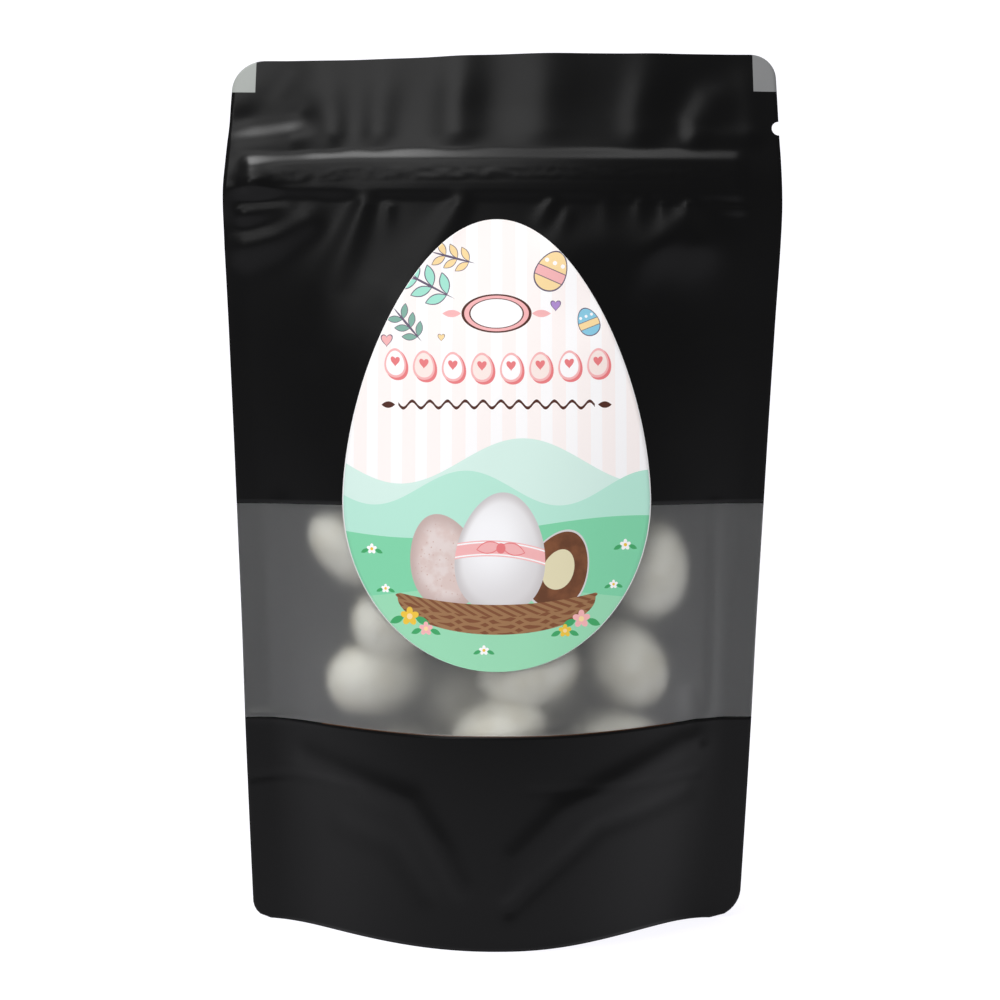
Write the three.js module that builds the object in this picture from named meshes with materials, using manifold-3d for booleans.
// A filled stand-up pouch of sugar-shelled chocolate eggs.
//
// Millimetres, +Z up. The pouch stands on the rim of its gusset with the origin at the middle of
// that rim, its width runs along X and its front faces -Y. It is shut and full, so it is one solid;
// the clear window of its front panel and the sticker on it are bodies of their own.

import * as THREE from 'three';
import { mergeVertices } from 'three/addons/utils/BufferGeometryUtils.js';
import Module from 'manifold-3d';

const { clamp, smoothstep } = THREE.MathUtils;

// Pouch
const HEIGHT = 219.7;          // standing, from the rim to the top seal
const SEAL_THICKNESS = 1.2;    // both films where they are sealed flat together
const TOP_CORNERS = [ 7.8, 6.2 ];      // radii of the cut corners at the top, left and right
const BOTTOM_CORNERS = [ 4.5, 7.5 ];   // and at the bottom
const TOP_RISE = { rise: 0.75, from: - 50, to: 18 };   // the top edge drops at the left, rises at the right
const SWAY = 0.0092;           // sideways lean to the right for each millimetre of height,
const SWAY_FROM = 172;         // counted from the widest place
const TOP_LEAN = 8.5;          // how far the empty top leans back
const LEAN_FROM = 187;         // height where that lean begins
const LEAN_POWER = 1.25;
const TOP_BOW = { x: 12, out: 2.4, half: 50 };   // and how far its middle bows forward
const EMPTY_FROM = 150;        // height where that bow begins
const COLUMNS = 32;            // facets across the width

// Front and back panel at rising heights: half the width between the outer edges, half the width
// of the filled part between the flat seals, and how far the panel stands out in the middle.
const STATIONS = [
  { z: 0, edge: 62.2, full: 56, out: 26.6 },
  { z: 25, edge: 63.4, full: 57, out: 27.4 },
  { z: 50, edge: 64.5, full: 58.5, out: 26 },
  { z: 75, edge: 65.4, full: 59.5, out: 23.3 },
  { z: 100, edge: 66.5, full: 61, out: 20.4 },
  { z: 125, edge: 67.6, full: 62.5, out: 16.7 },
  { z: 150, edge: 68.8, full: 64, out: 12 },
  { z: 178, edge: 70.1, full: 66, out: 4.6 },
  { z: 192, edge: 69.8, full: 66, out: 2.3 },
  { z: 199, edge: 69.5, full: 66, out: 0.9 },
  { z: 206, edge: 69.3, full: 66, out: 0.15 },
  { z: HEIGHT, edge: 68.9, full: 66, out: 0 },
];
const BODY_POWERS = [ 2.3, 1.55 ];   // of the section (1 - s^a)^b where the pouch is full
const RIM_POWERS = [ 2.2, 1.9 ];     // and along the rim, where it is nearly a V
const RIM_OUT = 26.6;                // how far the rim stands out in the middle
const RIM_HALVES = [ 60, 54 ];       // where it meets the seals, to the left and to the right

// Gusset: the fold lines that run down from the side seals to the middle of the rim
const GUSSET_CREASE = { z: 37.5, out: - 0.5, half: 2 };
const FOLD_AT_MIDDLE = 10;     // height of the diagonal folds in the middle of the front
const FOLD_AT_SIDE = 44;       // and at the side seals
const FOLD_RIDGE = { out: 0.9, half: 3 };
const GUSSET_RISE = 9;         // how far the folded bottom panel rises above the rim
const GUSSET_ROWS = 5;

// Zip: a raised band right across under the top, with a bevel above and a foot that drops to the
// panel below
const ZIP = { top: 195.1, shoulder: 192.6, foot: 184, rise: 2.1, tilt: - 0.8 };
const ZIP_FOOT_DROP = 0.7;     // height over which the foot drops
const ZIP_HALVES = [ 65, 61.5 ];   // from the middle to its left and its right end,
const ZIP_ENDS = [ 7, 3 ];     // where it sinks into the panel over these lengths

// Upright folds in the empty top: place across the width, height of the fold, half its width
const TOP_FOLDS = [
  { x: - 41.5, out: 0.8, half: 4 },
  { x: - 30, out: 0.8, half: 4.5 },
  { x: - 11, out: 1.2, half: 5.8 },
  { x: 10.5, out: 0.8, half: 7.5 },
  { x: 35, out: 0.8, half: 5 },
  { x: 48.5, out: 0.5, half: 3.6 },
];

// Tear notch in the right edge
const NOTCH = { z: 200.8, radius: 1.8 };

// Window: a clear band of the front panel, from edge to edge
const WINDOW_FROM = 52;
const WINDOW_TO = 106.4;
const WINDOW_THICKNESS = 0.35;
const WINDOW_EXTRA = 0.5;      // added where the pouch is full
const GAP = 0.3;               // between bodies that lie on one another
const OVERCUT = 1;             // how far a cut reaches past the surface

// Label: an egg-shaped sticker
const LABEL = { x: - 1.5, from: 67.2, widest: 107.8, to: 177, half: 38.1, thickness: 0.4 };
const LABEL_ROWS = 20;
const LABEL_COLUMNS = 12;
const LABEL_SHOULDER = 0.15;   // how much narrower than an ellipse the top of the egg is

const stationCurve = new THREE.CubicInterpolant(
  STATIONS.map( ( s ) => s.z ),
  STATIONS.flatMap( ( s ) => [ s.edge, s.full, s.out ] ),
  3,
);

// The three sizes of the panels at a height.
function panelAt( z ) {

  const [ edge, full, out ] = stationCurve.evaluate( clamp( z, 0, HEIGHT ) );
  return { edge, full, out };

}

// A smooth bump of a given height and half-width around the middle of its range.
function bump( distance, { out, half } ) {

  return out * Math.exp( - ( ( distance / half ) ** 2 ) );

}

// From the middle to the left (side 0) or the right (side 1) edge, with its rounded corners.
function halfWidth( z, side ) {

  const [ top, bottom ] = [ TOP_CORNERS[ side ], BOTTOM_CORNERS[ side ] ];
  const intoTop = clamp( ( z - HEIGHT ) / top + 1, 0, 1 );
  const intoBottom = clamp( 1 - z / bottom, 0, 1 );
  return panelAt( z ).edge
    - top * ( 1 - Math.sqrt( 1 - intoTop ** 2 ) )
    - bottom * ( 1 - Math.sqrt( 1 - intoBottom ** 2 ) );

}

// Which side of the middle a place is on.
function sideOf( x ) {

  return x > 0 ? 1 : 0;

}

// Share of a panel's depth that is left at a place across the filled part.
function section( x, half, [ inner, outer ] ) {

  const s = Math.min( 1, Math.abs( x ) / half );
  return ( 1 - s ** inner ) ** outer;

}

// Height of the diagonal folds, which run from the side seals down to the middle of the rim.
function foldHeight( x, z ) {

  const s = Math.min( 1, Math.abs( x ) / panelAt( z ).full );
  return FOLD_AT_MIDDLE + ( FOLD_AT_SIDE - FOLD_AT_MIDDLE ) * Math.sqrt( s );

}

// How far a filled panel stands out from the flat seals. Below the diagonal folds it runs
// straight back to the rim.
function fullness( x, z ) {

  const { full, out } = panelAt( z );
  const foot = RIM_OUT * section( x, RIM_HALVES[ sideOf( x ) ], RIM_POWERS );
  const body = out * section( x, full, BODY_POWERS );
  return THREE.MathUtils.lerp( foot, body, Math.min( 1, z / foldHeight( x, z ) ) );

}

// How far the zip stands out of a panel.
function zipRelief( x, z ) {

  const fromTop = ZIP.top - z;
  if ( fromTop < 0 ) return 0;
  const half = ZIP_HALVES[ sideOf( x ) ];
  const inside = 1 - smoothstep( Math.abs( x ), half - ZIP_ENDS[ sideOf( x ) ], half );
  const band = ZIP.rise * smoothstep( fromTop, 0, ZIP.top - ZIP.shoulder )
    + ZIP.tilt * fromTop / ( ZIP.top - ZIP.foot );
  return inside * band * smoothstep( z, ZIP.foot - ZIP_FOOT_DROP, ZIP.foot );

}

// What stands out of both panels: the zip, the ridge of the diagonal folds and the gusset's crease.
function relief( x, z ) {

  const edge = halfWidth( z, sideOf( x ) );
  const withinEdge = 1 - smoothstep( Math.abs( x ), edge - 6, edge - 1 );
  const ridge = bump( z - foldHeight( x, z ), FOLD_RIDGE ) * ( 1 - smoothstep( Math.abs( x ), 40, 52 ) );
  const crease = bump( z - GUSSET_CREASE.z, GUSSET_CREASE ) * smoothstep( Math.abs( x ), 4, 14 );
  return zipRelief( x, z ) + withinEdge * ( ridge + crease );

}

// The middle surface between the two panels: the empty top leans back, bows and is folded.
function seamOffset( x, z ) {

  const lean = TOP_LEAN * Math.max( 0, ( z - LEAN_FROM ) / ( HEIGHT - LEAN_FROM ) ) ** LEAN_POWER;
  const bow = bump( x - TOP_BOW.x, TOP_BOW ) * smoothstep( z, EMPTY_FROM, 190 );
  const folds = TOP_FOLDS.reduce( ( sum, fold ) => sum + bump( x - fold.x, fold ), 0 );
  const inTop = smoothstep( z, 192, 198 ) * ( 1 - 0.35 * smoothstep( z, 209, HEIGHT ) );
  return lean - bow - folds * inTop;

}

// A point of the front (side = -1) or back (side = 1) panel, sunk by a depth.
function panelPoint( side, x, z, sunk = 0 ) {

  const out = SEAL_THICKNESS / 2 + fullness( x, z ) + relief( x, z ) - sunk;
  const { rise, from, to } = TOP_RISE;
  const lift = rise * ( 2 * smoothstep( x, from, to ) - 1 ) * smoothstep( z, 195, HEIGHT );
  const sway = SWAY * ( z - SWAY_FROM );
  return new THREE.Vector3( x + sway, seamOffset( x, z ) + side * out, z + lift );

}

// Evenly spread numbers from a to b.
function spread( a, b, steps ) {

  return Array.from( { length: steps + 1 }, ( _, i ) => a + ( b - a ) * i / steps );

}

// One row of a body: its front points from left to right and the back points behind them.
function panelRow( z, xs, frontSunk, backSide, backSunk ) {

  return {
    front: xs.map( ( x ) => panelPoint( - 1, x, z, frontSunk( x, z ) ) ),
    back: xs.map( ( x ) => panelPoint( backSide, x, z, backSunk( x, z ) ) ),
  };

}

// Two triangles for each cell of a grid of points, facing the side from which the rows rise when
// the columns run to the right.
function gridTriangles( rows ) {

  const triangles = [];
  for ( let j = 0; j < rows.length - 1; j ++ ) {

    for ( let i = 0; i < rows[ j ].length - 1; i ++ ) {

      const [ a, b ] = [ rows[ j ][ i ], rows[ j ][ i + 1 ] ];
      const [ d, c ] = [ rows[ j + 1 ][ i ], rows[ j + 1 ][ i + 1 ] ];
      triangles.push( a, b, c, a, c, d );

    }

  }

  return triangles;

}

// A closed body through rows that rise from bottom to top. The bottom is the given rows of points
// from the front to the back, or straight across where there are none.
function loft( rows, bottomRows = [] ) {

  const rings = rows.map( ( { front, back } ) => [ ...front, ...back.toReversed(), front[ 0 ] ] );
  const [ bottom, top ] = [ rows[ 0 ], rows.at( - 1 ) ];
  const points = [
    ...gridTriangles( rings ),
    ...gridTriangles( [ top.front, top.back ] ),
    ...gridTriangles( [ bottom.back, ...bottomRows.toReversed(), bottom.front ] ),
  ];
  return closedGeometry( points );

}

// Joins triangles into one mesh with shared corners and leaves out those that closed to a line.
function closedGeometry( points ) {

  const loose = new THREE.BufferGeometry().setFromPoints( points );
  const merged = mergeVertices( loose, 1e-3 );
  const corners = Array.from( merged.index.array );
  const kept = [];
  for ( let i = 0; i < corners.length; i += 3 ) {

    const [ a, b, c ] = corners.slice( i, i + 3 );
    if ( a !== b && b !== c && c !== a ) kept.push( a, b, c );

  }

  merged.setIndex( kept );
  return merged;

}

// How far the window reaches into the front panel.
function windowDepth( x, z ) {

  return WINDOW_THICKNESS + WINDOW_EXTRA * smoothstep( fullness( x, z ), 0.5, 4 );

}

// Heights of the rows of facets, closer together where the surface bends more.
function rowHeights() {

  const corner = Math.max( ...TOP_CORNERS );
  const cornerHeights = spread( 0, Math.PI / 2, 4 ).map( ( a ) => HEIGHT - corner * ( 1 - Math.sin( a ) ) );
  return [
    0, 0.3, 1, 2.2, 4.5, 7.5,
    ...spread( 11, 29, 4 ),
    33, 35.5, GUSSET_CREASE.z, 39.5, 43, 47.5,
    ...spread( WINDOW_FROM, WINDOW_TO, 7 ),
    ...spread( WINDOW_TO, 170, 8 ).slice( 1 ),
    175, 179, ZIP.foot - ZIP_FOOT_DROP, ZIP.foot - ZIP_FOOT_DROP / 2, ZIP.foot,
    188, ZIP.shoulder, 193.4, 194.3, ZIP.top, 198, 203, 207.5,
    ...cornerHeights,
  ];

}

// Full-width rows of points across both panels.
function panelRows( heights, overhang, frontSunk, backSide, backSunk ) {

  return heights.map( ( z ) => {

    const [ left, right ] = [ 0, 1 ].map( ( side ) => halfWidth( z, side ) + overhang );
    const xs = [ ...spread( - left, 0, COLUMNS / 2 ), ...spread( 0, right, COLUMNS / 2 ).slice( 1 ) ];
    return panelRow( z, xs, frontSunk, backSide, backSunk );

  } );

}

// The folded bottom panel, which rises between the front and the back of the rim.
function gussetRows( { front, back } ) {

  return spread( 0, 1, GUSSET_ROWS ).slice( 1, - 1 ).map( ( t ) => front.map( ( point, i ) => {

    const inSeal = i === 0 || i === COLUMNS;
    const open = smoothstep( back[ i ].y - point.y, 2, 24 );
    const across = point.clone().lerp( back[ i ], inSeal ? 0 : t );
    return across.setZ( GUSSET_RISE * open * Math.sin( Math.PI * t ) );

  } ) );

}

// The pouch: both panels, the sealed edges and the gusset under it, with the window's pocket and
// the tear notch cut out.
async function makePouch() {

  const rows = panelRows( rowHeights(), 0, () => 0, 1, () => 0 );
  const body = loft( rows, gussetRows( rows[ 0 ] ) );

  const pocketHeights = spread( WINDOW_FROM, WINDOW_TO, 7 );
  const pocketDepth = ( x, z ) => windowDepth( x, z ) + GAP;
  const pocket = loft( panelRows( pocketHeights, OVERCUT, () => - OVERCUT, - 1, pocketDepth ) );

  const notch = new THREE.CylinderGeometry( NOTCH.radius, NOTCH.radius, 20, 12 );
  notch.translate( panelPoint( 1, halfWidth( NOTCH.z, 1 ), NOTCH.z ).x, 0, NOTCH.z );
  return subtract( body, [ pocket, closedGeometry( trianglePoints( notch ) ) ] );

}

// The corners of a geometry's triangles, one after another.
function trianglePoints( geometry ) {

  const { position } = geometry.attributes;
  return Array.from( geometry.index.array, ( i ) => new THREE.Vector3().fromBufferAttribute( position, i ) );

}

// A body with other bodies cut out of it.
async function subtract( body, cutters ) {

  const wasm = await Module();
  wasm.setup();
  const asSolid = ( geometry ) => new wasm.Manifold( new wasm.Mesh( {
    numProp: 3,
    vertProperties: geometry.attributes.position.array,
    triVerts: Uint32Array.from( geometry.index.array ),
  } ) );

  const cut = cutters.reduce( ( solid, cutter ) => solid.subtract( asSolid( cutter ) ), asSolid( body ) );
  const { vertProperties, triVerts } = cut.getMesh();
  const geometry = new THREE.BufferGeometry();
  geometry.setAttribute( 'position', new THREE.BufferAttribute( vertProperties, 3 ) );
  geometry.setIndex( Array.from( triVerts ) );
  return geometry;

}

// The clear band of film, set into the pouch flush with the front.
function makeWindow() {

  const heights = spread( WINDOW_FROM + GAP, WINDOW_TO - GAP, 7 );
  return loft( panelRows( heights, 0, () => 0, - 1, windowDepth ) );

}

// Half the width of the egg-shaped sticker at a height.
function labelHalfWidth( z ) {

  const end = z > LABEL.widest ? LABEL.to : LABEL.from;
  const t = ( z - LABEL.widest ) / ( end - LABEL.widest );
  const shoulder = end === LABEL.to ? 1 - LABEL_SHOULDER * t ** 1.4 : 1;
  return LABEL.half * Math.sqrt( Math.max( 0, 1 - t * t ) ) * shoulder;

}

// The sticker, which follows the front of the pouch and its window.
function makeLabel() {

  const middle = ( LABEL.from + LABEL.to ) / 2;
  const reach = ( LABEL.to - LABEL.from ) / 2;
  const heights = spread( 0, Math.PI, LABEL_ROWS ).map( ( a ) => middle - reach * Math.cos( a ) );
  const rows = heights.map( ( z ) => {

    const half = labelHalfWidth( z );
    const middleX = LABEL.x - SWAY * ( z - SWAY_FROM );
    const xs = spread( middleX - half, middleX + half, LABEL_COLUMNS );
    return panelRow( z, xs, () => - GAP - LABEL.thickness, - 1, () => - GAP );

  } );
  return loft( rows );

}

const pieces = {
  pouch: { make: makePouch, color: 0x232325, roughness: 0.55 },
  window: { make: makeWindow, color: 0x8a8c86, roughness: 0.45 },
  label: { make: makeLabel, color: 0xf2ece4, roughness: 0.5 },
};

const pouchOfEggs = new THREE.Group();
for ( const [ name, { make, color, roughness } ] of Object.entries( pieces ) ) {

  const geometry = await make();
  geometry.computeVertexNormals();
  const mesh = new THREE.Mesh( geometry, new THREE.MeshStandardMaterial( { color, roughness } ) );
  mesh.name = name;
  pouchOfEggs.add( mesh );

}

export default pouchOfEggs;
